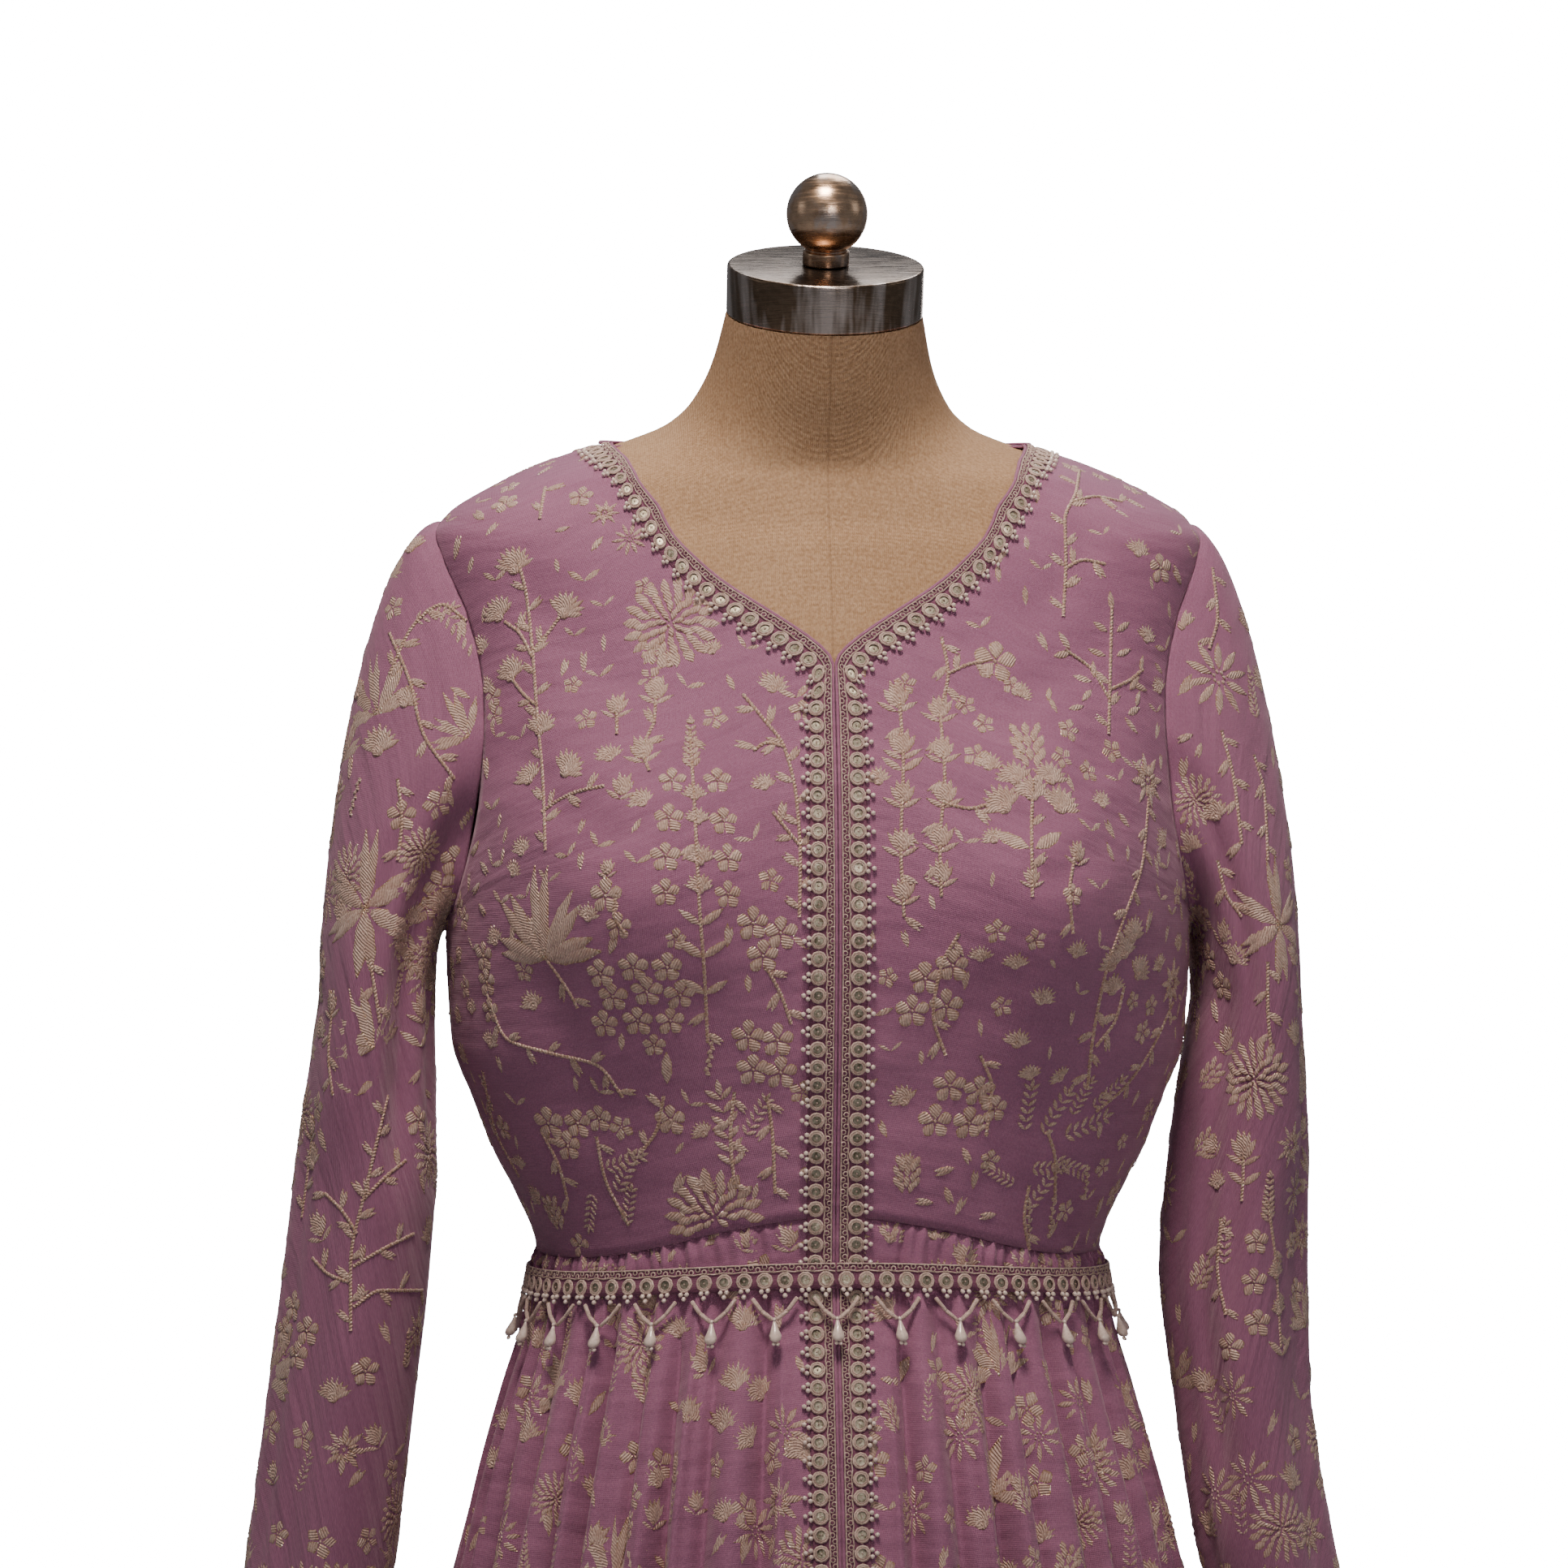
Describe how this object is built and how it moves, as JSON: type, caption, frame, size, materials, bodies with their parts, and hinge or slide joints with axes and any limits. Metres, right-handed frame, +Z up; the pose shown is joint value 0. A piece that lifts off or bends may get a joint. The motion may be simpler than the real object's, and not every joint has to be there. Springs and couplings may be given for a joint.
{
  "type": "anarkali gown on a limbless dress form",
  "caption": "Long-sleeved gown with a gathered, flared skirt, lace trims and a beaded lace belt, standing on a limbless dress form with a round base.",
  "frame": {"origin": "on the floor, under the middle of the dress form's round base", "axes": "+Z up along the pole; the front of the gown faces -Y; the wearer's left is +X"},
  "size_m": [0.8304, 0.738, 1.5837],
  "materials": {
    "crepe": "mauve crepe with a soft sheen and thread embroidery",
    "lace": "beige looped lace with small mirrors",
    "beads": "pearly beads",
    "canvas": "tan woven canvas, matt",
    "steel": "warm brushed steel"
  },
  "bodies": {
    "root": {"bodice_front_left": "crepe", "bodice_front_right": "crepe", "bodice_back": "crepe", "bodice_underlap": "crepe", "sleeve_left": "crepe", "sleeve_right": "crepe", "skirt_front_left": "crepe", "skirt_front_right": "crepe", "skirt_back": "crepe", "piping_left": "crepe", "piping_right": "crepe", "piping_back": "crepe", "lace_left": "lace", "lace_right": "lace", "belt_band": "lace", "belt_drops": "beads", "form_torso": "canvas", "form_neck_cap": "steel", "form_finial": "steel", "form_pole": "steel", "form_base": "steel"}
  },
  "joints": []
}
